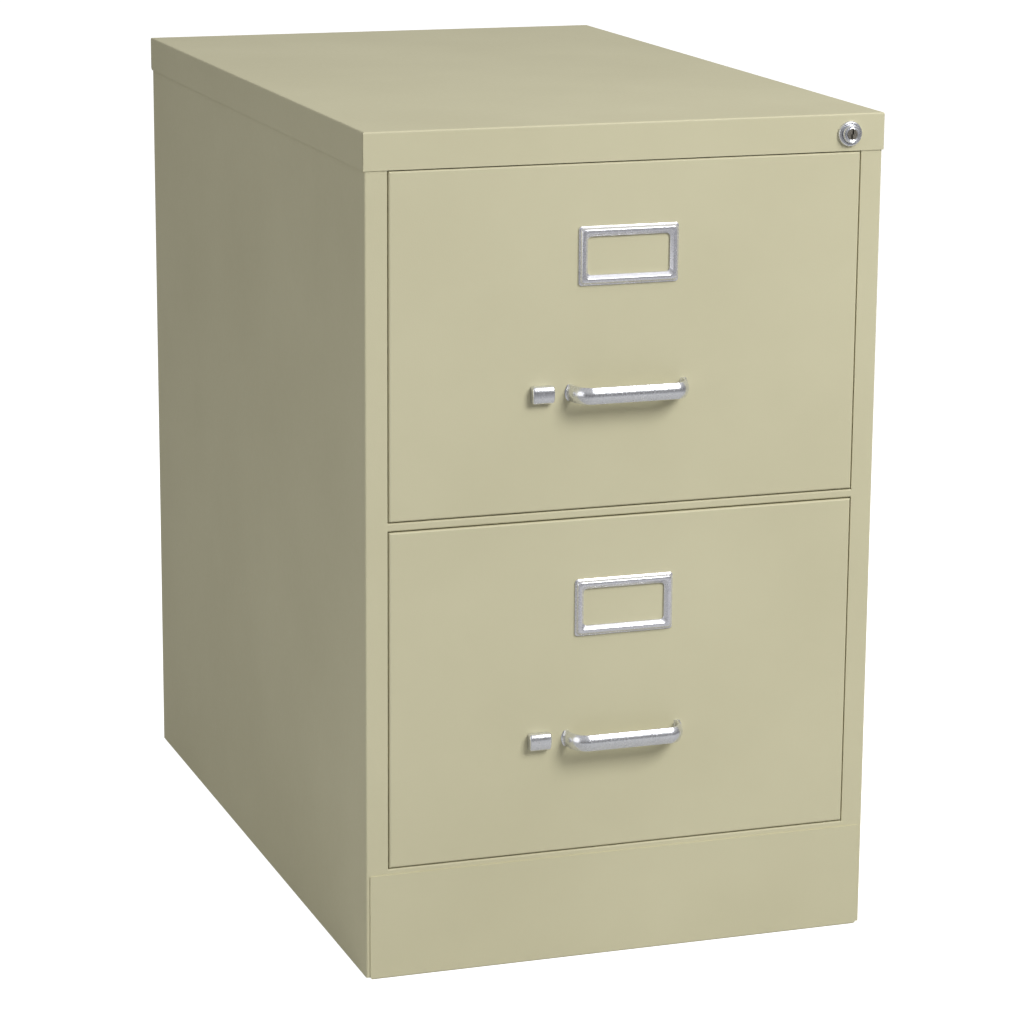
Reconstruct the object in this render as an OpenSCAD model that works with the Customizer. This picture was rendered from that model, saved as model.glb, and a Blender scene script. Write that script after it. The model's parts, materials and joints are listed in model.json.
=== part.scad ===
// Two-drawer vertical filing cabinet for legal-size folders, in sheet steel.
// Millimetres, +Z up, and the drawers face -Y. The origin is on the floor, at the middle of
// the overall box, which reaches from the back of the top cap to the front of the handles.

/* [Case] */
// Overall width, over the skirts of the top cap
case_w = 457.2; // [450:0.1:470]
// Depth of the case, without the handles
case_d = 723.9; // [715:0.1:745]
// Overall height
case_h = 720.7; // [715:0.1:745]
// Thickness of the case panels
sheet_t = 0.9; // [0.8:0.05:1]
// Outer radius of the bends in the case panels
bend_r = 1.5; // [1.2:0.1:1.8]
// Height of the skirt round the top cap
cap_skirt = 31.5; // [31:0.5:34]
// How far that skirt stands proud of the side panels
cap_proud = 1; // [0.9:0.1:1.6]
// Width of the front flange of each side panel
flange_w = 19.2; // [18.6:0.1:20]
// Height of the kick panel
kick_h = 92; // [85:1:100]
// Height of the sill over the kick panel
sill_h = 5; // [4:0.5:8]
// Height of the rail between the drawers
rail_h = 7; // [6:0.5:10]

/* [Drawers] */
// Gap round each drawer front
front_gap = 1; // [1:0.1:1.6]
// Depth of the folded edges of a drawer front
front_depth = 20; // [18:0.5:20]
// Thickness of the drawer sheet
drawer_t = 0.8; // [0.7:0.05:0.9]
// Height of a drawer's sides and back
side_h = 252; // [200:1:258]
// How far a drawer pulls out
drawer_travel = 620; // [560:10:640]

/* [Slides] */
// Length of the case member of a slide
slide_len = 660; // [655:1:665]
// Height of the case member of a slide
slide_h = 46; // [44:1:50]
// Thickness of a whole slide, from case to drawer
slide_t = 12.7; // [12.7:0.1:13]
// Height of a slide's middle above the foot of its drawer front
slide_up = 65; // [55:1:75]
// Diameter of the bearing balls
ball_d = 4; // [3.8:0.05:4]

/* [Handles and labels] */
// Width of a handle over its feet
handle_w = 110; // [106:1:118]
// Reach of a handle from the drawer front
handle_reach = 24; // [22:0.5:27]
// Height of a handle's bar
handle_h = 14.2; // [13:0.1:15]
// Height of the handle above the foot of its drawer front
handle_up = 100; // [90:1:120]
// Width of a label holder
label_w = 88; // [80:1:96]
// Height of a label holder
label_h = 49.5; // [44:0.5:54]
// Height of a label holder's middle above the foot of its drawer front
label_up = 213.9; // [190:0.1:225]

/* [Thumb latches] */
// Width of the thumb piece
thumb_w = 19.3; // [19:0.1:20]
// Height of the thumb piece
thumb_h = 14.5; // [13:0.5:16]
// Reach of the thumb piece from the drawer front
thumb_reach = 8; // [7:0.5:9]
// How far the thumb piece slides towards the handle
latch_travel = 6.5; // [5:0.5:6.5]

/* [Lock] */
// Distance of the lock from the middle of the cabinet
lock_x = 196.8; // [194:0.1:197]
// Distance of the lock below the top
lock_down = 16.8; // [16.5:0.1:17]
// Diameter of the lock's bezel
bezel_d = 21.3; // [21:0.1:22]
// Diameter of the lock's plunger
plunger_d = 15.2; // [15:0.1:15.2]
// How far the plunger stands out when unlocked
plunger_proud = 6.5; // [6:0.1:7]
// How far the plunger pushes in to lock
plunger_travel = 5.5; // [5:0.1:5.5]
// How far the lock bar rises
bar_travel = 7; // [6:0.5:7]

/* [Hidden] */
$fn = 48;

PUTTY = [0.77, 0.75, 0.63];
ZINC = [0.66, 0.67, 0.69];
CHROME = [0.85, 0.86, 0.88];
ALUMINIUM = [0.78, 0.79, 0.81];
SPRING_STEEL = [0.45, 0.47, 0.50];

// Planes of the case
front_y = -(case_d - handle_reach) / 2;
face_y = front_y + sheet_t;
back_y = front_y + case_d;
side_x = case_w / 2 - cap_proud;
opening_x = side_x - flange_w;
side_foot = 2;
cap_gap = 0.4;
side_back_y = back_y - 2 * sheet_t - cap_gap;
sill_z = kick_h + sill_h;

// Drawer openings
drawer_h = (case_h - cap_skirt - rail_h - sill_z - 4 * front_gap) / 2;
lower_z = sill_z + front_gap;
rail_z = lower_z + drawer_h + front_gap;
upper_z = rail_z + rail_h + front_gap;
front_w = 2 * (opening_x - front_gap);
front_bend_r = 1.6;

// Drawer body, counted from the foot of the drawer front
bottom_up = 10;
liner_y = face_y + front_depth;
body_y = liner_y + drawer_t;
drawer_back_y = back_y - 22;
hem_t = 3;
hem_h = 10;

// Slides
rail_gap = 1;
slide_x = opening_x + rail_gap;
slide_y = face_y + 23.1;
slide_steel = 1.2;
drawer_x = slide_x - slide_t;
race = ball_d + 0.2;
middle_h = slide_h - 2 * slide_steel - 2 * race;
inner_h = middle_h - 2 * slide_steel - 2 * race;
middle_len = slide_len - 20;
cage_steel = 0.5;
cage_lead = 6;
cage_len = slide_len / 2 - 20;
balls = 8;

// Uprights
upright_w = 40;
front_upright_y = face_y + 15.1;
rear_upright_y = slide_y + slide_len - upright_w;
upright_top = case_h - cap_skirt - 1.2;

// Latches and handle screws
latch_slot_w = 12.1;
thumb_x = -85;
latch_slot_x = thumb_x + latch_travel + 0.3;
stem_w = latch_slot_w - latch_travel - 0.6;
latch_bar_depth = 6;
latch_bar_t = 2;
latch_bar_h = 14;
screw_x = handle_w / 2 - 4;
screw_d = 4;

// Lock
lock_z = case_h - lock_down;
barrel_d = 19;
barrel_len = 24;
barrel_end = 2;
tail_d = 6;
tail_tip_d = 3;
tail_reach = 34;
pivot_y = front_y + 36.4;
pivot_z = lock_z - 8.7;
pivot_d = 4;
lock_bar_x = slide_x + 2.4;
lock_bar_y = front_y + 19;
lock_bar_w = 13;
lock_bar_t = 2;
lock_bar_foot = 100;
tab_h = 8;
tab_up = 120;

// ---- Shared shapes ----

// Points of an arc about c from angle a0 to a1, or c alone when the radius is 0
function arc(c, r, a0, a1, n = 6) =
    r == 0 ? [c] : [for (i = [0:n]) let (a = a0 + (a1 - a0) * i / n) c + r * [cos(a), sin(a)]];

// Rectangle from lo to hi. r holds its corner radii, anticlockwise from the lower left.
function rounded(lo, hi, r) = concat(
    arc([lo[0] + r[0], lo[1] + r[0]], r[0], 180, 270),
    arc([hi[0] - r[1], lo[1] + r[1]], r[1], 270, 360),
    arc([hi[0] - r[2], hi[1] - r[2]], r[2], 0, 90),
    arc([lo[0] + r[3], hi[1] - r[3]], r[3], 90, 180));

// Box between two limits on each axis
module block(x, y, z) {
    translate([x[0], y[0], z[0]]) cube([x[1] - x[0], y[1] - y[0], z[1] - z[0]]);
}

// Cylinder along Y from y0 to y1
module rod_y(x, z, d, y0, y1, d2 = 0) {
    translate([x, y0, z]) rotate([-90, 0, 0])
        cylinder(d1 = d, d2 = d2 == 0 ? d : d2, h = y1 - y0);
}

// Extrudes an outline drawn in Y and Z along X
module along_x(x) {
    translate([x[0], 0, 0]) rotate([90, 0, 90]) linear_extrude(x[1] - x[0]) children();
}

// Extrudes an outline drawn in X and Z along Y
module along_y(y) {
    translate([0, y[1], 0]) rotate([90, 0, 0]) linear_extrude(y[1] - y[0]) children();
}

// Sheet pan with its face towards -Y at y = 0, its foot at z = 0 and an open back
module pan(w, h, depth, t, r) {
    difference() {
        intersection() {
            linear_extrude(h) polygon(rounded([-w / 2, 0], [w / 2, depth], [r, r, 0, 0]));
            along_x([-w / 2, w / 2]) polygon(rounded([0, 0], [depth, h], [r, 0, 0, r]));
        }
        block([t - w / 2, w / 2 - t], [t, depth + 1], [t, h - t]);
    }
}

// Channel of sheet, open towards +Y, between two heights
module rail_channel(x, y, z, t, r) {
    along_x(x) difference() {
        polygon(rounded([y[0], z[0]], [y[1], z[1]], [r, 0, 0, r]));
        polygon(rounded([y[0] + t, z[0] + t], [y[1] + 1, z[1] - t], [r - t, 0, 0, r - t]));
    }
}

module mirrored() {
    mirror([1, 0, 0]) children();
}

module both_sides() {
    children();
    mirrored() children();
}

module on_drawer(z) {
    translate([0, 0, z]) children();
}

// ---- Case ----

// Right side panel: one sheet with flanges at the front, back, top and foot
module side_panel() {
    foot_w = 20;
    hem_d = 12;
    edge_r = 1.5;
    top = case_h - sheet_t;
    x = [opening_x, side_x];
    y = [face_y, side_back_y];
    color(PUTTY) {
        translate([0, 0, side_foot]) linear_extrude(top - side_foot) {
            difference() {
                polygon(rounded([x[0], y[0]], [x[1], y[1]], [0, bend_r, edge_r, 0]));
                polygon(rounded([x[0] - 1, y[0] + sheet_t], [x[1] - sheet_t, y[1] - sheet_t],
                    [0, bend_r - sheet_t, edge_r - sheet_t, 0]));
            }
            translate([opening_x, face_y]) square([sheet_t, hem_d]);
        }
        for (z = [side_foot, top - sheet_t])
            block([side_x - foot_w, side_x - sheet_t / 2], [y[0] + hem_d, y[1] - hem_d], [z, z + sheet_t]);
    }
}

module back_panel() {
    edge = 3;
    color(PUTTY)
        along_y([side_back_y, side_back_y + sheet_t])
            polygon(rounded([edge - side_x, side_foot], [side_x - edge, case_h - sheet_t], [3, 3, 0, 0]));
}

// Top cap: a pan with its face up, its rear corners rounded and its corner seams left open
module top_cap() {
    corner_r = 4;
    seam_w = 0.6;
    seam_y = front_y + 1.8;
    skirt_z = case_h - cap_skirt;
    half = case_w / 2;
    color(PUTTY) difference() {
        translate([0, front_y, case_h]) rotate([-90, 0, 0])
            pan(case_w, case_d, cap_skirt, sheet_t, bend_r);
        block([sheet_t - half, half - sheet_t], [back_y - 2 * sheet_t, back_y + 1],
            [skirt_z - 1, skirt_z + corner_r]);
        along_x([-half - 1, half + 1]) polygon(concat(
            [[back_y + 1, skirt_z - 1], [back_y + 1, skirt_z + corner_r]],
            arc([back_y - corner_r, skirt_z + corner_r], corner_r, 0, -90),
            [[back_y - corner_r, skirt_z - 1]]));
        both_sides() block([half - 2 * sheet_t, half + 1], [seam_y, seam_y + seam_w],
            [skirt_z - 1, case_h - 2 * bend_r]);
        rod_y(lock_x, lock_z, barrel_d + 0.2, front_y - 1, face_y + 1);
    }
}

// Kick panel: laid over the side flanges, with a foot that turns back under the cabinet
module kick_panel() {
    inset = 3.4;
    corner_r = 3;
    foot_d = 26;
    half = side_x - inset;
    color(PUTTY) intersection() {
        along_y([front_y, front_y + foot_d])
            polygon(rounded([-half, 0], [half, kick_h], [corner_r, corner_r, 0, 0]));
        along_x([-half, half]) difference() {
            polygon(rounded([front_y, 0], [front_y + foot_d, kick_h], [bend_r, 0, 0, 0]));
            polygon(rounded([face_y, sheet_t], [front_y + foot_d + 1, kick_h + 1],
                [bend_r - sheet_t, 0, 0, 0]));
        }
    }
}

// Channel between the two drawers
module middle_rail() {
    depth = 30;
    color(PUTTY)
        rail_channel([-opening_x, opening_x], [face_y, face_y + depth],
            [rail_z, rail_z + rail_h], sheet_t, 1.4);
}

// Angle behind the top cap's front skirt, which carries the lock
module header_rail() {
    t = 1.2;
    foot = case_h - cap_skirt + 0.8;
    depth = 62;
    color(PUTTY) difference() {
        union() {
            block([-opening_x, opening_x], [face_y, face_y + t], [foot, case_h - 5]);
            block([-opening_x, opening_x], [face_y, face_y + depth], [foot, foot + t]);
        }
        rod_y(lock_x, lock_z, barrel_d + 0.2, face_y - 1, face_y + t + 1);
    }
}

// Channel behind the kick panel, whose upper edge is the sill of the lower drawer
module base_front_rail() {
    lap = 14;
    depth = 30;
    color(PUTTY)
        rail_channel([-opening_x, opening_x], [face_y, face_y + depth],
            [kick_h - lap, sill_z], sheet_t, bend_r);
}

// Channel across the foot of the back, which the cabinet also stands on
module base_rear_rail() {
    t = 1.2;
    height = 45;
    depth = 28;
    y = side_back_y - sheet_t;
    color(PUTTY) {
        block([-opening_x, opening_x], [y - t, y], [0, height]);
        block([-opening_x, opening_x], [y - depth, y - t], [0, t]);
        block([-opening_x, opening_x], [y - depth, y - t], [height - t, height]);
    }
}

// Right-hand upright: a channel between the side panel and the slides
module upright(y) {
    foot = side_foot + sheet_t;
    color(ZINC) difference() {
        block([slide_x, side_x - sheet_t], [y, y + upright_w], [foot, upright_top]);
        block([slide_x + slide_steel, side_x], [y + slide_steel, y + upright_w - slide_steel],
            [foot - 1, upright_top + 1]);
    }
}

// Front right upright, with a window for each tab of the lock bar
module lock_upright() {
    clear = 2;
    color(ZINC) difference() {
        upright(front_upright_y);
        for (z = [lower_z, upper_z])
            block([slide_x - 1, slide_x + slide_steel + 1], [lock_bar_y - 1, lock_bar_y + lock_bar_w + 1],
                [z + tab_up - clear, z + tab_up + tab_h + bar_travel + clear]);
    }
}

// ---- Slides, drawn for the right-hand side ----

// Channel of slide steel: s is its reach from the case, open towards the drawer
module slide_channel(s, h, y) {
    along_y(y) difference() {
        translate([slide_x - s[1], -h / 2]) square([s[1] - s[0], h]);
        translate([slide_x - s[1] - 1, slide_steel - h / 2])
            square([s[1] - s[0] + 1 - slide_steel, h - 2 * slide_steel]);
    }
}

module case_slide() {
    lip = 11;
    color(ZINC) translate([0, 0, slide_up])
        slide_channel([0, lip], slide_h, [slide_y, slide_y + slide_len]);
}

module middle_slide() {
    color(ZINC) translate([0, 0, slide_up])
        slide_channel([2.4, 11.2], middle_h, [slide_y, slide_y + middle_len]);
}

// Drawer member: the same channel, turned to open towards the case
module drawer_slide() {
    reach = 4.9;
    y = [slide_y + 2, slide_y + slide_len];
    color(ZINC) translate([0, 0, slide_up]) along_y(y) difference() {
        translate([drawer_x, -inner_h / 2]) square([slide_t - reach, inner_h]);
        translate([drawer_x + slide_steel, slide_steel - inner_h / 2])
            square([slide_t, inner_h - 2 * slide_steel]);
    }
}

// Ball cage of one slide. s is the reach of its web from the case, h the height of the
// member that the balls run on, and reach the place of the balls.
module ball_cage(s, h, reach, y) {
    lip_h = h + race + cage_steel;
    pitch = cage_len / balls;
    translate([0, y, slide_up]) {
        block([slide_x - s - cage_steel, slide_x - s], [0, cage_len], [-lip_h / 2, lip_h / 2]);
        for (side = [-1, 1]) {
            z = side * (h + race) / 2;
            block([slide_x - reach - ball_d / 2, slide_x - s], [0, cage_len],
                [z - cage_steel / 2, z + cage_steel / 2]);
            for (i = [0:balls - 1])
                translate([slide_x - reach, pitch * (i + 0.5), z]) sphere(d = ball_d, $fn = 24);
        }
    }
}

module outer_ball_cages() {
    color(SPRING_STEEL) both_sides()
        ball_cage(1.6, middle_h, 7, slide_y + drawer_travel / 4 + cage_lead);
}

module inner_ball_cages() {
    color(SPRING_STEEL) both_sides()
        ball_cage(4, inner_h, 8.6, slide_y + drawer_travel / 4 + 2 * cage_lead);
}

// ---- Drawers, drawn with the foot of the drawer front at z = 0 ----

// Drawer front: a pan that stands as proud of the side flanges as the top cap's skirt
module drawer_front() {
    slot_h = 6.6;
    window_h = latch_bar_h + 1.2;
    color(PUTTY) difference() {
        translate([0, front_y, 0])
            pan(front_w, drawer_h, sheet_t + front_depth, drawer_t, front_bend_r);
        block([latch_slot_x, latch_slot_x + latch_slot_w], [front_y - 1, front_y + 2],
            [handle_up - slot_h / 2, handle_up + slot_h / 2]);
        block([-front_w / 2 - 1, -front_w / 2 + 2],
            [face_y + latch_bar_depth - 0.6, face_y + latch_bar_depth + latch_bar_t + 0.6],
            [handle_up - window_h / 2, handle_up + window_h / 2]);
        for (side = [-1, 1]) rod_y(side * screw_x, handle_up, screw_d + 0.4, front_y - 1, front_y + 2);
    }
}

// Plate that closes the back of the drawer front
module drawer_liner() {
    edge = 0.4;
    color(PUTTY)
        block([edge - front_w / 2, front_w / 2 - edge], [liner_y, body_y], [edge, drawer_h - edge]);
}

// Bottom with pressed ribs that stiffen it
module drawer_bottom() {
    inner_x = drawer_x - drawer_t;
    rib_w = 14;
    rib_h = 1.6;
    rib_margin = 45;
    z = bottom_up + drawer_t;
    color(PUTTY) {
        block([-inner_x, inner_x], [body_y, drawer_back_y - drawer_t], [bottom_up, z]);
        for (x = [-120, 0, 120])
            block([x - rib_w / 2, x + rib_w / 2],
                [body_y + rib_margin, drawer_back_y - rib_margin], [z, z + rib_h]);
    }
}

// Right-hand side: its top edge is rolled into a hem that folders hang from
module drawer_side() {
    top = bottom_up + side_h;
    color(PUTTY) {
        block([drawer_x - drawer_t, drawer_x], [body_y, drawer_back_y], [bottom_up, top]);
        block([drawer_x - hem_t, drawer_x - drawer_t], [body_y, drawer_back_y - hem_t],
            [top - hem_h, top]);
    }
}

// Right side with the lanced catch that the lock bar's tab stands behind
module drawer_catch_side() {
    catch_t = 2;
    catch_z = tab_up + tab_h + 1;
    catch_y = lock_bar_y + lock_bar_w + 2;
    drawer_side();
    color(PUTTY)
        block([drawer_x, opening_x - front_gap], [catch_y, catch_y + catch_t], [catch_z, catch_z + 12]);
}

module drawer_back() {
    inner_x = drawer_x - drawer_t;
    top = bottom_up + side_h - hem_h;
    color(PUTTY) {
        block([-inner_x, inner_x], [drawer_back_y - drawer_t, drawer_back_y], [bottom_up, top]);
        block([-inner_x, inner_x], [drawer_back_y - hem_t, drawer_back_y - drawer_t],
            [top - hem_h, top]);
    }
}

// Label holder: a thin flange and a raised frame with a pocket behind it for the card
module label_holder() {
    flange_t = 1;
    proud = 4.2;
    border = 1.8;
    frame_w = label_w - 2 * border;
    frame_h = label_h - 2 * border;
    window_w = 72.5;
    window_h = 32;
    pocket_wall = 3;
    corner_r = 2;
    window_r = 3;
    module plate(w, h, r, y) {
        along_y(y) polygon(rounded([-w / 2, -h / 2], [w / 2, h / 2], [r, r, r, r]));
    }
    color(ALUMINIUM) translate([0, front_y, label_up]) difference() {
        union() {
            plate(label_w, label_h, corner_r, [-flange_t, 0]);
            plate(frame_w, frame_h, corner_r, [-proud, -flange_t / 2]);
        }
        plate(window_w, window_h, window_r, [-proud - 1, 1]);
        plate(frame_w - 2 * pocket_wall, frame_h - 2 * pocket_wall, 1, [flange_t - proud, 1]);
    }
}

// Bow handle: its plan is cut to a domed bar, and its legs end in flat feet
module handle() {
    bar_t = 5;
    leg_in = 1.6;
    corner_r = 17;
    foot_w = 7.5;
    foot_t = 2.2;
    dome = 3.2;
    hole_depth = 5;
    half = handle_w / 2;
    bend = [half - leg_in - corner_r, corner_r - handle_reach];
    inner_r = corner_r - bar_t;
    outer = concat([[half, 0]], arc(bend, corner_r, 0, -90, 10));
    inner = concat(arc(bend, inner_r, -90, 0, 10), [[half - foot_w, 0]]);
    right = concat(outer, inner);
    dome_r = (handle_h * handle_h / 4 + dome * dome) / (2 * dome);
    dome_a = asin(handle_h / 2 / dome_r);
    color(CHROME) translate([0, front_y, handle_up]) difference() {
        union() {
            intersection() {
                translate([0, 0, -handle_h / 2]) linear_extrude(handle_h) {
                    both_sides() polygon(right);
                    translate([-bend[0], -handle_reach]) square([2 * bend[0], bar_t]);
                }
                along_x([-half, half]) polygon(concat(
                    [[0, handle_h / 2]],
                    arc([dome_r - handle_reach, 0], dome_r, 180 - dome_a, 180 + dome_a, 12),
                    [[0, -handle_h / 2]]));
            }
            both_sides() along_y([-foot_t, 0])
                polygon(rounded([half - foot_w, -handle_h / 2], [half, handle_h / 2], [0, 3, 3, 0]));
        }
        for (side = [-1, 1]) rod_y(side * screw_x, 0, screw_d + 0.1, -hole_depth, 1);
    }
}

// Screws that hold the handle from inside the drawer front
module handle_screws() {
    head_d = 8;
    head_t = 2.4;
    reach = 4.5;
    y = front_y + drawer_t;
    color(ZINC) for (side = [-1, 1]) {
        rod_y(side * screw_x, handle_up, screw_d, front_y - reach, y);
        rod_y(side * screw_x, handle_up, head_d, y, y + head_t);
    }
}

// Thumb piece with a domed face, on a stem through the slot in the drawer front
module thumb_latch() {
    clear = 0.4;
    dome = 3;
    stem_h = 6;
    stem_x = latch_slot_x + 0.3;
    corner_r = 1.2;
    dome_r = (thumb_h * thumb_h / 4 + dome * dome) / (2 * dome);
    dome_a = asin(thumb_h / 2 / dome_r);
    color(CHROME) translate([0, front_y, handle_up]) {
        intersection() {
            along_x([thumb_x, thumb_x + thumb_w]) polygon(concat(
                [[-clear, thumb_h / 2]],
                arc([dome_r - thumb_reach, 0], dome_r, 180 - dome_a, 180 + dome_a, 12),
                [[-clear, -thumb_h / 2]]));
            translate([0, 0, -thumb_h / 2]) linear_extrude(thumb_h)
                polygon(rounded([thumb_x, -thumb_reach], [thumb_x + thumb_w, -clear],
                    [corner_r, corner_r, 0, 0]));
        }
        block([stem_x, stem_x + stem_w], [-clear, sheet_t + latch_bar_depth], [-stem_h / 2, stem_h / 2]);
    }
}

// Flat bar behind the drawer front, from the thumb piece to the tongue at the left edge
module latch_bar() {
    tongue = front_gap / 2;
    lug_x = -112;
    lug_d = 6;
    y = face_y + latch_bar_depth;
    z = [handle_up - latch_bar_h / 2, handle_up + latch_bar_h / 2];
    color(ZINC) {
        block([-front_w / 2 - tongue, thumb_x + thumb_w], [y, y + latch_bar_t], z);
        block([lug_x, lug_x + latch_bar_t], [y + latch_bar_t, y + latch_bar_t + lug_d], z);
    }
}

// Leaf spring between the liner and the lug of the latch bar
module latch_spring() {
    t = 0.5;
    leaf_h = 10;
    foot = [-88, -100];
    tip = [-109.4, face_y + latch_bar_depth + latch_bar_t + 1.5];
    y = liner_y;
    color(SPRING_STEEL) translate([0, 0, handle_up - leaf_h / 2]) linear_extrude(leaf_h)
        polygon([[foot[0], y], [foot[1], y], tip, [tip[0] + t, tip[1] - t],
            [foot[1] + t, y - t], [foot[0], y - t]]);
}

// ---- Lock ----

// Fixed barrel with its bezel, grooved for the clip
module lock_housing() {
    bezel_t = 3;
    bevel = 0.9;
    bore = plunger_d + 0.5;
    groove = [2.1, 3.3];
    groove_d = 17.4;
    r = bezel_d / 2;
    color(CHROME) translate([lock_x, front_y, lock_z]) rotate([-90, 0, 0])
        rotate_extrude() polygon([
            [bore / 2 + 0.6, -bezel_t], [r - bevel, -bezel_t], [r, bevel - bezel_t], [r, 0],
            [barrel_d / 2, 0], [barrel_d / 2, groove[0]], [groove_d / 2, groove[0]],
            [groove_d / 2, groove[1]], [barrel_d / 2, groove[1]], [barrel_d / 2, barrel_len],
            [tail_d / 2 + 0.3, barrel_len], [tail_d / 2 + 0.3, barrel_len - barrel_end],
            [bore / 2, barrel_len - barrel_end], [bore / 2, 0.6 - bezel_t]]);
}

// Forked clip that holds the barrel against the back of the header rail
module lock_clip() {
    size = 22;
    slot = 17.6;
    y = front_y + 2.1;
    t = 1.2;
    color(SPRING_STEEL) difference() {
        block([lock_x - size / 2, lock_x + size / 2], [y, y + t], [lock_z - size / 2, lock_z + size / 2]);
        rod_y(lock_x, lock_z, slot, y - 1, y + t + 1);
        block([lock_x - slot / 2, lock_x + slot / 2], [y - 1, y + t + 1], [lock_z, lock_z + size]);
    }
}

// Plunger: dished face, bore for the key plug, and the tail that pushes the lever
module lock_plunger() {
    dish_d = 12.6;
    dish = 0.5;
    body_len = barrel_len - barrel_end - plunger_travel - 0.5;
    tip_len = 5;
    plug_bore = 9.2;
    bore_len = 12;
    y = front_y - plunger_proud;
    color(CHROME) difference() {
        union() {
            rod_y(lock_x, lock_z, plunger_d, y, front_y + body_len);
            rod_y(lock_x, lock_z, tail_d, front_y + body_len, front_y + tail_reach - tip_len);
            rod_y(lock_x, lock_z, tail_d, front_y + tail_reach - tip_len, front_y + tail_reach, tail_tip_d);
        }
        rod_y(lock_x, lock_z, dish_d, y - 1, y + dish);
        rod_y(lock_x, lock_z, plug_bore, y - 1, y + bore_len);
    }
}

// Plug that the key turns, with an offset keyway
module key_plug() {
    plug_d = 9;
    plug_len = 11;
    key_w = 1.3;
    key_h = 3.6;
    key_step = 0.5;
    key_depth = 9;
    y = front_y - plunger_proud + 0.2;
    color(ALUMINIUM) difference() {
        rod_y(lock_x, lock_z, plug_d, y, y + plug_len);
        for (side = [-1, 1])
            translate([lock_x + side * key_step, y, lock_z + side * key_h / 2])
                cube([key_w, 2 * key_depth, key_h + 0.2], center = true);
    }
}

// Rocker: the plunger tips its upright arm back, and its forward arm lifts the lock bar
module lock_lever() {
    arm_t = 2.5;
    arm_up = 12.5;
    arm_fwd = 11;
    hub_d = 5;
    shaft_x = [187, lock_bar_x + 7.4];
    push_x = [lock_x - 3.5, lock_x + 3.5];
    lift_x = [lock_bar_x + 2.8, lock_bar_x + 7.4];
    color(ZINC) translate([0, pivot_y, pivot_z]) {
        translate([shaft_x[0], 0, 0]) rotate([0, 90, 0])
            cylinder(d = pivot_d, h = shaft_x[1] - shaft_x[0]);
        for (x = [push_x, lift_x]) translate([x[0], 0, 0]) rotate([0, 90, 0])
            cylinder(d = hub_d, h = x[1] - x[0]);
        block(push_x, [-2, arm_t - 2], [0, arm_up]);
        block(lift_x, [-arm_fwd, 0], [-arm_t / 2, arm_t / 2]);
    }
}

// Bracket on the header rail, whose two ears carry the lever's shaft
module lever_bracket() {
    t = 1.2;
    ear_x = [188, lock_x + 7];
    foot = case_h - cap_skirt + 2;
    y = [pivot_y - 5, pivot_y + 7];
    color(ZINC) difference() {
        union() {
            block([ear_x[0], ear_x[1] + t], y, [foot, foot + t]);
            for (x = ear_x) block([x, x + t], y, [foot, pivot_z + 3.5]);
        }
        translate([ear_x[0] - 1, pivot_y, pivot_z]) rotate([0, 90, 0])
            cylinder(d = pivot_d + 0.2, h = ear_x[1] - ear_x[0] + 4);
    }
}

// Bar that rises in the front right upright, with a tab for each drawer
module lock_bar() {
    hook_gap = 1.2;
    hook_w = 6.4;
    hook_t = 1.5;
    hook_z = pivot_z + 1.25 + hook_gap;
    tab_x = slide_x - 0.7;
    hook_notch = 3;
    hook_x = lock_bar_x + lock_bar_t;
    y = [lock_bar_y, lock_bar_y + lock_bar_w];
    color(ZINC) {
        block([lock_bar_x, hook_x], y, [lock_bar_foot, hook_z + hook_t]);
        block([hook_x, hook_x + hook_w], [y[0] + hook_notch, y[1]], [hook_z, hook_z + hook_t]);
        for (z = [lower_z, upper_z])
            block([tab_x, lock_bar_x], y, [z + tab_up, z + tab_up + tab_h]);
    }
}

// ---- Assembly ----

mirrored() side_panel();  // left_side_panel
side_panel();  // right_side_panel
back_panel();
top_cap();
kick_panel();
middle_rail();
header_rail();
base_front_rail();
base_rear_rail();
mirrored() upright(front_upright_y);  // front_left_upright
lock_upright();  // front_right_upright
mirrored() upright(rear_upright_y);  // rear_left_upright
upright(rear_upright_y);  // rear_right_upright

on_drawer(upper_z) mirrored() case_slide();  // upper_left_case_slide
on_drawer(upper_z) case_slide();  // upper_right_case_slide
on_drawer(lower_z) mirrored() case_slide();  // lower_left_case_slide
on_drawer(lower_z) case_slide();  // lower_right_case_slide
on_drawer(upper_z) mirrored() middle_slide();  // upper_left_middle_slide
on_drawer(upper_z) middle_slide();  // upper_right_middle_slide
on_drawer(lower_z) mirrored() middle_slide();  // lower_left_middle_slide
on_drawer(lower_z) middle_slide();  // lower_right_middle_slide
on_drawer(upper_z) mirrored() drawer_slide();  // upper_left_drawer_slide
on_drawer(upper_z) drawer_slide();  // upper_right_drawer_slide
on_drawer(lower_z) mirrored() drawer_slide();  // lower_left_drawer_slide
on_drawer(lower_z) drawer_slide();  // lower_right_drawer_slide
on_drawer(upper_z) outer_ball_cages();  // upper_outer_ball_cages
on_drawer(upper_z) inner_ball_cages();  // upper_inner_ball_cages
on_drawer(lower_z) outer_ball_cages();  // lower_outer_ball_cages
on_drawer(lower_z) inner_ball_cages();  // lower_inner_ball_cages

on_drawer(upper_z) drawer_front();  // upper_drawer_front
on_drawer(upper_z) drawer_liner();  // upper_drawer_liner
on_drawer(upper_z) drawer_bottom();  // upper_drawer_bottom
on_drawer(upper_z) mirrored() drawer_side();  // upper_drawer_left_side
on_drawer(upper_z) drawer_catch_side();  // upper_drawer_right_side
on_drawer(upper_z) drawer_back();  // upper_drawer_back
on_drawer(upper_z) label_holder();  // upper_label_holder
on_drawer(upper_z) handle();  // upper_handle
on_drawer(upper_z) handle_screws();  // upper_handle_screws
on_drawer(upper_z) thumb_latch();  // upper_thumb_latch
on_drawer(upper_z) latch_bar();  // upper_latch_bar
on_drawer(upper_z) latch_spring();  // upper_latch_spring

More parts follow.
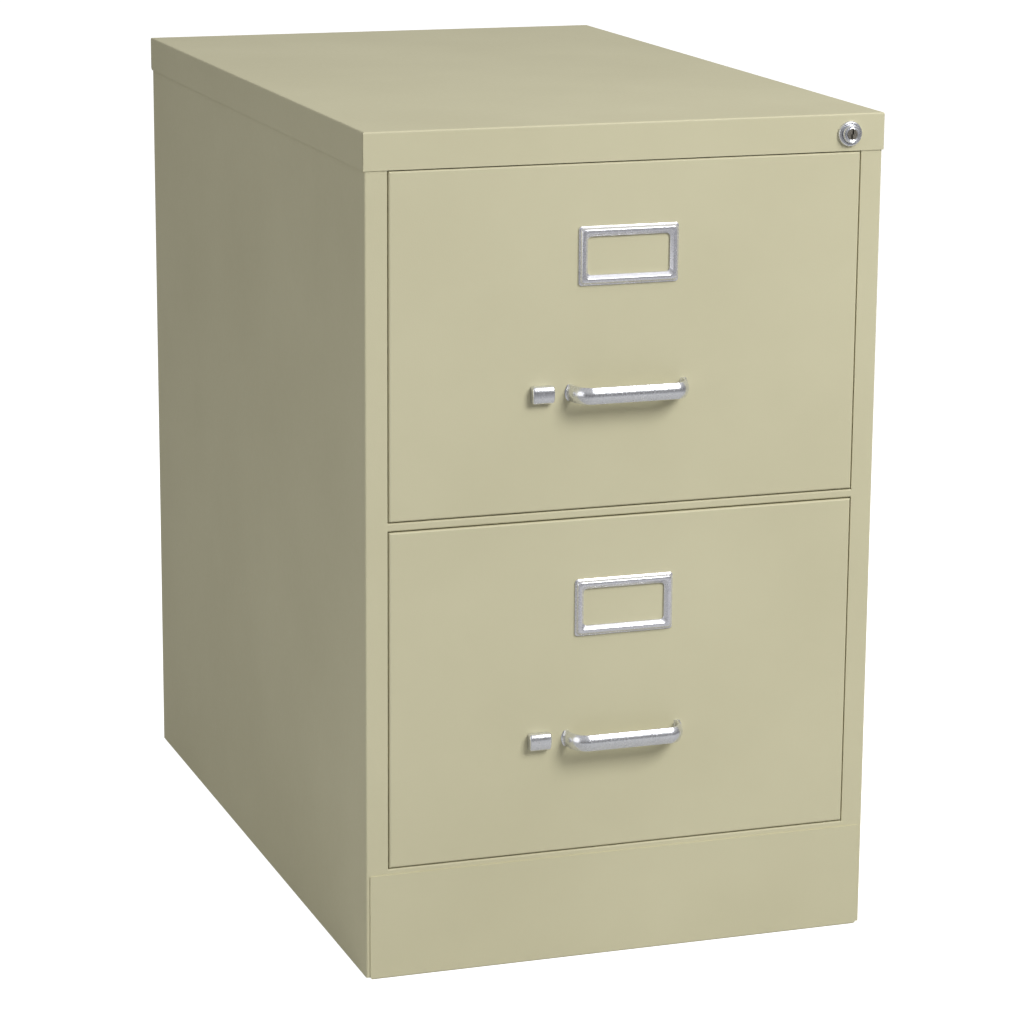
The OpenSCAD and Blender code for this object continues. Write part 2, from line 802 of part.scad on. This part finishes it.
on_drawer(lower_z) drawer_front();  // lower_drawer_front
on_drawer(lower_z) drawer_liner();  // lower_drawer_liner
on_drawer(lower_z) drawer_bottom();  // lower_drawer_bottom
on_drawer(lower_z) mirrored() drawer_side();  // lower_drawer_left_side
on_drawer(lower_z) drawer_catch_side();  // lower_drawer_right_side
on_drawer(lower_z) drawer_back();  // lower_drawer_back
on_drawer(lower_z) label_holder();  // lower_label_holder
on_drawer(lower_z) handle();  // lower_handle
on_drawer(lower_z) handle_screws();  // lower_handle_screws
on_drawer(lower_z) thumb_latch();  // lower_thumb_latch
on_drawer(lower_z) latch_bar();  // lower_latch_bar
on_drawer(lower_z) latch_spring();  // lower_latch_spring

lock_housing();
lock_clip();
lock_plunger();
key_plug();
lock_lever();
lever_bracket();
lock_bar();
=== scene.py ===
"""Looks of the filing cabinet: detailed metal fittings, materials, lights and the camera."""
import json
import math

import bmesh
import bpy
from mathutils import Matrix, Vector

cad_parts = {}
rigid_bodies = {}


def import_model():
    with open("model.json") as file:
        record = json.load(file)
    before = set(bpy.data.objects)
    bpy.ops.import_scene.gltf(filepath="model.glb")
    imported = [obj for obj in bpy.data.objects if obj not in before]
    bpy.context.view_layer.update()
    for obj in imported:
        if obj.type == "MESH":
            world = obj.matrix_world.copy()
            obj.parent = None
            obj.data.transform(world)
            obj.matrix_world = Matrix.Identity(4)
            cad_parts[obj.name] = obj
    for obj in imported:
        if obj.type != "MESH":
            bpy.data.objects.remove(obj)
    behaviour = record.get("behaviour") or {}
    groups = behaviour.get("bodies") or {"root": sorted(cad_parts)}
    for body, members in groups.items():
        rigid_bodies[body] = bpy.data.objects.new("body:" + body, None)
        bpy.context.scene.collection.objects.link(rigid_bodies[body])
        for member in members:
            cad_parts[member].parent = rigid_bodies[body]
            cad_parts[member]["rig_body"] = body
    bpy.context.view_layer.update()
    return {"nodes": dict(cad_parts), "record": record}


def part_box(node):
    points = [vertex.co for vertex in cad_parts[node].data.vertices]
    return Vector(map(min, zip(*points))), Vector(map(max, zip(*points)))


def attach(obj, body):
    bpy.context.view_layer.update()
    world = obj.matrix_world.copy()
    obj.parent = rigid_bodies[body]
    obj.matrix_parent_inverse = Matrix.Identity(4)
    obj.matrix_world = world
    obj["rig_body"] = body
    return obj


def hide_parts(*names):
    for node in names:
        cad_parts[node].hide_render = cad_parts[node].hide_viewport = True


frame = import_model()
nodes = frame["nodes"]
scene = bpy.context.scene
MM = 0.001


# ---- Materials ----

class Tree:
    """A node material under construction. Positions are the object's own, in metres."""

    def __init__(self, name):
        self.mat = bpy.data.materials.new(name)
        self.mat.use_nodes = True
        self.nodes = self.mat.node_tree.nodes
        self.links = self.mat.node_tree.links
        self.shader = self.nodes["Principled BSDF"]
        self.coords = self.nodes.new("ShaderNodeTexCoord").outputs["Object"]
        self.height = None

    def set(self, **values):
        for name, value in values.items():
            self.shader.inputs[name.replace("_", " ")].default_value = value

    def stretched(self, scale):
        node = self.nodes.new("ShaderNodeMapping")
        node.inputs["Scale"].default_value = scale
        self.links.new(self.coords, node.inputs["Vector"])
        return node.outputs["Vector"]

    def noise(self, scale, detail=2.0, rough=0.5, coords=None):
        node = self.nodes.new("ShaderNodeTexNoise")
        node.inputs["Scale"].default_value = scale
        node.inputs["Detail"].default_value = detail
        node.inputs["Roughness"].default_value = rough
        self.links.new(coords or self.coords, node.inputs["Vector"])
        return node.outputs["Fac"]

    def ramp(self, fac, low, high, a, b):
        """Maps fac from low..high to the numbers or colours a..b."""
        node = self.nodes.new("ShaderNodeMapRange" if isinstance(a, float) else "ShaderNodeValToRGB")
        if isinstance(a, float):
            self.links.new(fac, node.inputs["Value"])
            for name, value in (("From Min", low), ("From Max", high), ("To Min", a), ("To Max", b)):
                node.inputs[name].default_value = value
            return node.outputs["Result"]
        self.links.new(fac, node.inputs["Fac"])
        node.color_ramp.elements[0].position = low
        node.color_ramp.elements[0].color = (*a, 1)
        node.color_ramp.elements[1].position = high
        node.color_ramp.elements[1].color = (*b, 1)
        return node.outputs["Color"]

    def to(self, socket, output):
        self.links.new(output, self.shader.inputs[socket])

    def bump(self, fac, distance, strength=1.0):
        """Adds a layer of relief, distance metres deep."""
        node = self.nodes.new("ShaderNodeBump")
        node.inputs["Strength"].default_value = strength
        node.inputs["Distance"].default_value = distance
        self.links.new(fac, node.inputs["Height"])
        if self.height is not None:
            self.links.new(self.height, node.inputs["Normal"])
        self.height = node.outputs["Normal"]
        self.to("Normal", self.height)


def putty_paint():
    """Powder coat: fine orange peel, a slow waviness of the sheet and faint changes of tone."""
    t = Tree("putty_paint")
    tone = t.noise(5, 3, 0.55)
    t.to("Base Color", t.ramp(tone, 0.3, 0.7, (0.600, 0.566, 0.378), (0.640, 0.606, 0.410)))
    t.to("Roughness", t.ramp(t.noise(240, 2), 0.3, 0.7, 0.54, 0.64))
    t.set(IOR=1.5)
    t.bump(t.noise(3.2, 1, 0.3), 0.004, 0.35)
    t.bump(t.noise(900, 2, 0.55), 0.00012, 0.6)
    return t.mat


def zinc_plate():
    """Bright zinc plating on rolled steel, with faint spangle and rolling marks."""
    t = Tree("zinc_plate")
    t.set(Metallic=1.0)
    spangle = t.nodes.new("ShaderNodeTexVoronoi")
    spangle.inputs["Scale"].default_value = 130
    t.links.new(t.coords, spangle.inputs["Vector"])
    t.to("Base Color", t.ramp(spangle.outputs["Distance"], 0.1, 0.9, (0.56, 0.57, 0.58), (0.66, 0.67, 0.68)))
    lines = t.noise(60, 3, 0.6, t.stretched((12, 0.4, 12)))
    t.to("Roughness", t.ramp(lines, 0.3, 0.7, 0.26, 0.42))
    t.bump(lines, 0.00004, 0.5)
    return t.mat


def chrome_plate():
    """Satin chrome on a die casting: bright, with the faint grain of the casting under it."""
    t = Tree("chrome_plate")
    t.set(Metallic=0.92)
    grain = t.noise(900, 3, 0.65)
    t.to("Base Color", t.ramp(grain, 0.35, 0.65, (0.72, 0.73, 0.77), (0.86, 0.87, 0.91)))
    t.to("Roughness", t.ramp(t.noise(700, 2), 0.3, 0.7, 0.18, 0.29))
    t.bump(grain, 0.00006, 0.6)
    return t.mat


def satin_aluminium():
    """Satin metal of the label holders, with a fine cross grain and a share of neutral scatter."""
    t = Tree("satin_aluminium")
    t.set(Metallic=0.76)
    lines = t.noise(300, 3, 0.6, t.stretched((0.3, 3, 3)))
    t.to("Base Color", t.ramp(lines, 0.3, 0.7, (0.72, 0.72, 0.77), (0.79, 0.79, 0.84)))
    t.to("Roughness", t.ramp(t.noise(900, 2), 0.3, 0.7, 0.20, 0.30))
    t.bump(t.noise(1300, 2), 0.00002, 0.15)
    return t.mat


def spring_steel():
    """Blued-grey leaf spring with a fine rolled surface."""
    t = Tree("spring_steel")
    t.set(Metallic=1.0)
    t.to("Base Color", t.ramp(t.noise(180, 3), 0.3, 0.7, (0.36, 0.37, 0.39), (0.46, 0.47, 0.49)))
    t.to("Roughness", t.ramp(t.noise(600, 2), 0.3, 0.7, 0.24, 0.38))
    return t.mat


def key_steel():
    """Nickel of the key plug, with the fine turning marks of its face."""
    t = Tree("key_steel")
    t.set(Metallic=1.0)
    t.to("Base Color", t.ramp(t.noise(900, 2), 0.3, 0.7, (0.50, 0.46, 0.39), (0.62, 0.57, 0.49)))
    t.to("Roughness", t.ramp(t.noise(1400, 2), 0.3, 0.7, 0.20, 0.32))
    return t.mat


MATERIALS = {make.__name__: make() for make in (putty_paint, zinc_plate, chrome_plate, satin_aluminium,
                                                spring_steel, key_steel)}
SLOT_OF = {s["node"]: s["material_slot"] for s in frame["record"]["subparts"]}
for name, obj in nodes.items():
    obj.data.materials.clear()
    obj.data.materials.append(MATERIALS[SLOT_OF[name]])
    for face in obj.data.polygons:
        face.use_smooth = True


# ---- Detailed pieces ----

def piece(name, bm, node, sharp=40):
    """Makes a mesh object of bm that rides with the CAD node it replaces and takes its finish."""
    bmesh.ops.remove_doubles(bm, verts=bm.verts, dist=1e-7)
    bmesh.ops.recalc_face_normals(bm, faces=bm.faces)
    for face in bm.faces:
        face.smooth = True
    for edge in bm.edges:
        if len(edge.link_faces) == 2:
            edge.smooth = edge.calc_face_angle() < math.radians(sharp)
    mesh = bpy.data.meshes.new(name)
    bm.to_mesh(mesh)
    bm.free()
    obj = bpy.data.objects.new(name, mesh)
    scene.collection.objects.link(obj)
    mesh.materials.append(MATERIALS[SLOT_OF[node]])
    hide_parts(node)
    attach(obj, nodes[node]["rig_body"])
    return obj


def loft(bm, rings, closed=False):
    """Skins a list of rings, each a list of points, and caps its ends unless they close on each other."""
    made = [[bm.verts.new(p) for p in ring] for ring in rings]
    n = len(made[0])
    count = len(made) if closed else len(made) - 1
    for i in range(count):
        a, b = made[i], made[(i + 1) % len(made)]
        for j in range(n):
            k = (j + 1) % n
            bm.faces.new((a[j], a[k], b[k], b[j]))
    if not closed:
        bm.faces.new(made[0])
        bm.faces.new(made[-1])


def lens(half_h, thick, dome_out, dome_in, edge_r, n=14):
    """Cross-section of a handle: points (depth behind the outer face, height), domed on both faces."""
    r = min(edge_r, (thick - dome_out - dome_in) / 2)
    flat = half_h - r
    ring = []
    for i in range(n + 1):
        z = flat * math.sin(math.radians(-90 + 180 * i / n))
        ring.append((dome_out * (z / half_h) ** 2, z))
    start, end = ring[-1][0], thick - dome_in * (flat / half_h) ** 2
    for a in (30, 60, 90, 120, 150):
        depth = start + (end - start) * (1 - math.cos(math.radians(a))) / 2
        ring.append((depth, flat + r * math.sin(math.radians(a))))
    for i in range(n + 1):
        z = flat * math.sin(math.radians(90 - 180 * i / n))
        ring.append((thick - dome_in * (z / half_h) ** 2, z))
    for a in (30, 60, 90, 120, 150):
        depth = end + (start - end) * (1 - math.cos(math.radians(a))) / 2
        ring.append((depth, -flat - r * math.sin(math.radians(a))))
    return ring


def bow_handle(node, name):
    """Bow handle: a domed band of even height, bent to a bow, on small flat feet."""
    lo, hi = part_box(node)
    mid, half = (lo + hi) / 2, (hi.x - lo.x) / 2
    reach, half_h = hi.y - lo.y, (hi.z - lo.z) / 2
    bar_t, bend, lip, edge = 4.6 * MM, 17 * MM, 1.8 * MM, 0.5 * MM
    foot_w, foot_t, foot_edge = 7.4 * MM, 2.4 * MM, 0.1 * MM
    dome_out, dome_in, edge_r = 0.6 * bar_t, 0.3 * MM, 0.6 * MM
    foot_steps, bend_steps, bar_steps = 8, 30, 5
    # Each section is an outer and an inner point: (inwards from the handle's end, out from the drawer).
    # They run from one foot to the middle, and are mirrored for the other half.
    sections = [((0, 0), (foot_w, 0))]
    for i in range(foot_steps + 1):
        t = math.radians(90 * i / foot_steps)
        sections.append(((lip * math.sin(t), edge + (foot_t - edge) * (1 - math.cos(t))),
                         (foot_w - (foot_w - lip - bar_t) * math.sin(t),
                          foot_edge + (foot_t - foot_edge) * i / foot_steps)))
    for i in range(1, bend_steps + 1):
        t = math.radians(90 * i / bend_steps)
        c, s = math.cos(t), math.sin(t)
        sections.append(((lip + bend * (1 - c), foot_t + (reach - foot_t) * s),
                         (lip + bar_t + (bend - bar_t) * (1 - c), foot_t + (reach - foot_t - bar_t) * s)))
    for i in range(1, bar_steps + 1):
        along = lip + bend + (half - lip - bend) * i / bar_steps
        sections.append(((along, reach), (along, reach - bar_t)))
    placed = [(1, section) for section in sections] + [(-1, section) for section in sections[-2::-1]]
    rings = []
    for way, (outer, inner) in placed:
        a, b = (Vector((mid.x + way * (half - p[0]), hi.y - p[1])) for p in (outer, inner))
        thick = (b - a).length
        rings.append([Vector((*a.lerp(b, depth / thick), mid.z + z))
                      for depth, z in lens(half_h, thick, dome_out, dome_in, edge_r)])
    bm = bmesh.new()
    loft(bm, rings)
    return piece(name, bm, node, 50)


def rounded_rect(half_w, half_h, r, n=8):
    """Points (x, z) round a rectangle about the origin, with n steps at each corner."""
    points = []
    for cx, cz, start in ((1, 1, 0), (-1, 1, 90), (-1, -1, 180), (1, -1, 270)):
        for i in range(n + 1):
            a = math.radians(start + 90 * i / n)
            points.append((cx * (half_w - r) + r * math.cos(a), cz * (half_h - r) + r * math.sin(a)))
    return points


def card_frame(node, name):
    """Label holder: a thin flange, a raised bead with sloping sides and an open window."""
    lo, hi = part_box(node)
    mid = (lo + hi) / 2
    half_w, half_h = (hi.x - lo.x) / 2, (hi.z - lo.z) / 2
    window_w, window_h = 36.25 * MM, 16 * MM
    proud = hi.y - lo.y
    corner_r, corner_growth = 2.6, 0.6
    # Across one side: (share of the way from the outer edge to the window, share of the full height)
    flange = ((0.00, 0.00), (0.00, 0.20), (0.01, 0.26), (0.03, 0.29), (0.16, 0.42))
    outer_slope = ((0.175, 0.46), (0.19, 0.58), (0.21, 0.66), (0.29, 0.90), (0.32, 0.96))
    crown = ((0.36, 1.00), (0.64, 1.00), (0.675, 0.98), (0.70, 0.94))
    inner_slope = ((0.95, 0.44), (0.98, 0.39), (1.00, 0.32), (1.00, 0.04))
    back = ((0.90, 0.03), (0.70, 0.55), (0.34, 0.55), (0.30, 0.00))
    profile = flange + outer_slope + crown + inner_slope + back
    rings = []
    for inset, height in profile:
        w = half_w + (window_w - half_w) * inset
        h = half_h + (window_h - half_h) * inset
        r = (corner_r + corner_growth * inset) * MM
        rings.append([Vector((mid.x + x, hi.y - proud * height, mid.z + z))
                      for x, z in rounded_rect(w, h, r)])
    bm = bmesh.new()
    loft(bm, rings, closed=True)
    return piece(name, bm, node, 35)


def thumb_piece(node, name):
    """Thumb latch: a domed slide with rounded ends, on its stem through the drawer front."""
    lo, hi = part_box(node)
    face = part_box(node.replace("thumb_latch", "handle"))[1].y
    clearance, length, end_r = 0.4 * MM, 19.3 * MM, 1.6 * MM
    back, z_mid, half_h = face - clearance, (lo.z + hi.z) / 2, (hi.z - lo.z) / 2
    left, right = lo.x, lo.x + length
    reach = back - lo.y
    edge_share, dome_share, lowest_share = 0.62, 0.38, 0.60
    height_power, dome_power, arc_steps = 0.80, 1.1, 24
    stem_w, stem_h, stem_x = 5 * MM, 6 * MM, 6.5 * MM + 2.8 * MM
    rings = []
    ends = [(left, 1, a) for a in range(0, 91, 15)] + [(right, -1, a) for a in range(90, -1, -15)]
    for end, way, a in ends:
        x = end + way * end_r * (1 - math.cos(math.radians(a)))
        inset = end_r * (1 - math.sin(math.radians(a)))
        h, depth = half_h - inset, reach - inset
        ring = []
        for i in range(arc_steps + 1):
            t = math.radians(-90 + 180 * i / arc_steps)
            z = math.copysign(abs(math.sin(t)) ** height_power, t) * h
            share = edge_share + dome_share * math.cos(t) ** dome_power if 0 < i < arc_steps else lowest_share
            ring.append(Vector((x, back - depth * share, z_mid + z)))
        ring.append(Vector((x, back, z_mid + h)))
        ring.append(Vector((x, back, z_mid - h)))
        rings.append(ring)
    bm = bmesh.new()
    loft(bm, rings)
    stem = bmesh.ops.create_cube(bm, size=1)["verts"]
    size = Vector((stem_w, hi.y - back, stem_h))
    centre = Vector((left + stem_x, (hi.y + back) / 2, z_mid))
    for v in stem:
        v.co = Vector(v.co[i] * size[i] for i in range(3)) + centre
    return piece(name, bm, node, 35)


def lathe(bm, centre, profile, n=64):
    """Turns (radius, y) points about the Y axis through centre."""
    turns = [2 * math.pi * i / n for i in range(n)]
    rings = [[Vector((centre.x + r * math.cos(a), y, centre.z + r * math.sin(a))) for a in turns]
             for r, y in profile]
    loft(bm, rings, closed=True)


def lock_bezel(node, name):
    """Barrel of the lock with a rounded bezel that stands on the skirt of the top cap."""
    lo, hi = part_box(node)
    centre = (lo + hi) / 2
    r = (hi.x - lo.x) / 2
    bezel_t, round_r, end_wall = 3.0 * MM, 1.5 * MM, 2 * MM
    bore, barrel, groove_r, tail_hole_r = 7.85 * MM, 9.5 * MM, 8.7 * MM, 3.3 * MM
    face = lo.y + bezel_t
    # The clip that holds the lock from behind the skirt sits in this groove.
    groove_start, groove_end = face + 2.1 * MM, face + 3.3 * MM
    profile = [(bore, hi.y - end_wall), (bore, lo.y + 0.6 * MM), (bore + 0.15 * MM, lo.y + 0.25 * MM),
               (bore + 0.5 * MM, lo.y + 0.05 * MM), (bore + 0.9 * MM, lo.y)]
    for a in range(90, -1, -15):
        c, s = math.cos(math.radians(a)), math.sin(math.radians(a))
        profile.append((r - round_r + round_r * c, lo.y + round_r - round_r * s))
    profile += [(r, face), (barrel, face), (barrel, groove_start), (groove_r, groove_start),
                (groove_r, groove_end), (barrel, groove_end), (barrel, hi.y), (tail_hole_r, hi.y),
                (tail_hole_r, hi.y - end_wall)]
    bm = bmesh.new()
    lathe(bm, centre, profile)
    return piece(name, bm, node, 35)


def lock_button(node, name):
    """Plunger of the push lock: bevelled rim, shallow dish, and a rounded lip about the key plug."""
    lo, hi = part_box(node)
    centre = (lo + hi) / 2
    r, plug_r, plug_end = (hi.x - lo.x) / 2, 4.6 * MM, lo.y + 12 * MM
    tail_r, tip_r, tip_len, core_r = 3 * MM, 1.5 * MM, 5 * MM, 0.2 * MM
    lip_foot, lip_rise, lip_r = 0.75, 0.5, 0.4 * MM
    body_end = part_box("lock_housing")[1].y - 8 * MM
    profile = [(plug_r, plug_end), (plug_r, lo.y + lip_foot * MM)]
    for a in range(0, 181, 30):
        profile.append((plug_r + lip_r * (1 - math.cos(math.radians(a))),
                        lo.y + (lip_foot - lip_rise * math.sin(math.radians(a))) * MM))
    # Dish, rim and bevel of the face
    profile += [(plug_r + 1.0 * MM, lo.y + 0.62 * MM), (r - 1.7 * MM, lo.y + 0.50 * MM),
                (r - 1.3 * MM, lo.y + 0.30 * MM), (r - 1.15 * MM, lo.y), (r - 0.85 * MM, lo.y),
                (r - 0.25 * MM, lo.y + 0.40 * MM), (r, lo.y + 0.95 * MM)]
    # Body and tail
    profile += [(r, body_end), (tail_r, body_end), (tail_r, hi.y - tip_len), (tip_r, hi.y), (core_r, hi.y),
                (core_r, plug_end)]
    bm = bmesh.new()
    lathe(bm, centre, profile)
    return piece(name, bm, node, 25)


for level in ("upper", "lower"):
    bow_handle(f"{level}_handle", f"{level}_bow_handle")
    card_frame(f"{level}_label_holder", f"{level}_card_frame")
    thumb_piece(f"{level}_thumb_latch", f"{level}_thumb_piece")
lock_bezel("lock_housing", "lock_bezel")
lock_button("lock_plunger", "lock_button")


# ---- Camera ----

FRONT_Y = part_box("top_cap")[0].y
POSITION = Vector((-1.056, FRONT_Y - 2.7508, 1.1073))
YAW, PITCH, ROLL = (math.radians(a) for a in (-19.19, -13.70, -0.41))
FOCAL_PX, FRAME_PX, SENSOR_MM = 3603.0, 1028, 36

turn = Matrix.Rotation(YAW, 3, "Z") @ Matrix.Rotation(PITCH, 3, "X") @ Matrix.Rotation(ROLL, 3, "Y")
right, forward, up = turn.col
camera = bpy.data.objects.new("camera", bpy.data.cameras.new("camera"))
scene.collection.objects.link(camera)
camera.data.sensor_width = SENSOR_MM
camera.data.lens = FOCAL_PX * SENSOR_MM / FRAME_PX
camera.data.clip_end = 60
camera.matrix_world = Matrix.Translation(POSITION) @ Matrix((right, up, -forward)).transposed().to_4x4()
scene.camera = camera


# ---- Floor, world and lights ----

def floor():
    """White to the camera, yet a mid-grey floor to the cabinet: paler near it, darker further out."""
    radius, near, far_off, glow_in_mirrors = 14, 1.3, 2.4, 0.08
    bm = bmesh.new()
    bmesh.ops.create_circle(bm, cap_ends=True, segments=96, radius=radius)
    mesh = bpy.data.meshes.new("floor")
    bm.to_mesh(mesh)
    bm.free()
    obj = bpy.data.objects.new("floor", mesh)
    scene.collection.objects.link(obj)
    t = Tree("pale_floor")
    t.set(Roughness=0.9, Emission_Color=(1, 1, 1, 1))
    distance = t.nodes.new("ShaderNodeVectorMath")
    distance.operation = "LENGTH"
    t.links.new(t.coords, distance.inputs[0])
    share = t.ramp(distance.outputs["Value"], near, far_off, 0.0, 1.0)
    t.to("Base Color", t.ramp(share, 0.0, 1.0, (0.42, 0.42, 0.42), (0.16, 0.16, 0.17)))
    path = t.nodes.new("ShaderNodeLightPath")
    seen = t.nodes.new("ShaderNodeMath")
    seen.operation = "MULTIPLY_ADD"
    seen.inputs[1].default_value = glow_in_mirrors
    t.links.new(path.outputs["Is Glossy Ray"], seen.inputs[0])
    t.links.new(path.outputs["Is Camera Ray"], seen.inputs[2])
    t.to("Emission Strength", seen.outputs[0])
    mesh.materials.append(t.mat)


def world():
    """Room that is darker at eye level than overhead, and a plain pale backdrop to the camera."""
    backdrop_grey = 0.97
    w = bpy.data.worlds.new("studio")
    scene.world = w
    w.use_nodes = True
    tree = w.node_tree
    new, link = tree.nodes.new, tree.links.new
    split = new("ShaderNodeSeparateXYZ")
    link(new("ShaderNodeTexCoord").outputs["Generated"], split.inputs[0])
    ramp = new("ShaderNodeValToRGB")
    link(split.outputs["Z"], ramp.inputs["Fac"])
    stops = ((0.0, 0.16), (0.08, 0.16), (0.30, 0.32), (0.55, 0.50), (1.0, 0.46))
    ramp.color_ramp.elements[0].position, ramp.color_ramp.elements[1].position = stops[0][0], stops[-1][0]
    for position, _ in stops[1:-1]:
        ramp.color_ramp.elements.new(position)
    for element, (_, value) in zip(ramp.color_ramp.elements, stops):
        element.color = (value, value, value, 1)
    path = new("ShaderNodeLightPath")
    mix = new("ShaderNodeMixShader")
    room, backdrop = tree.nodes["Background"], new("ShaderNodeBackground")
    link(ramp.outputs["Color"], room.inputs["Color"])
    backdrop.inputs["Color"].default_value = (backdrop_grey, backdrop_grey, backdrop_grey, 1)
    link(path.outputs["Is Camera Ray"], mix.inputs["Fac"])
    link(room.outputs[0], mix.inputs[1])
    link(backdrop.outputs[0], mix.inputs[2])
    link(mix.outputs[0], tree.nodes["World Output"].inputs["Surface"])


def softbox(name, place, target, size, watts):
    """Rectangular area light at place, turned to face target."""
    data = bpy.data.lights.new(name, "AREA")
    data.shape = "RECTANGLE"
    data.size, data.size_y = size
    data.energy = watts
    obj = bpy.data.objects.new(name, data)
    scene.collection.objects.link(obj)
    obj.location = place
    obj.rotation_euler = (Vector(target) - Vector(place)).to_track_quat("-Z", "Y").to_euler()


floor()
world()
softbox("key", (1.5, -2.8, 2.6), (0, 0, 0.35), (1.5, 1.5), 97)
softbox("left", (-3.2, -0.9, 0.9), (0, 0, 0.4), (2.2, 2.2), 18)
softbox("top", (0.9, -1.2, 2.9), (0, -0.2, 0.5), (1.6, 1.6), 4)
scene.view_settings.view_transform = "Standard"
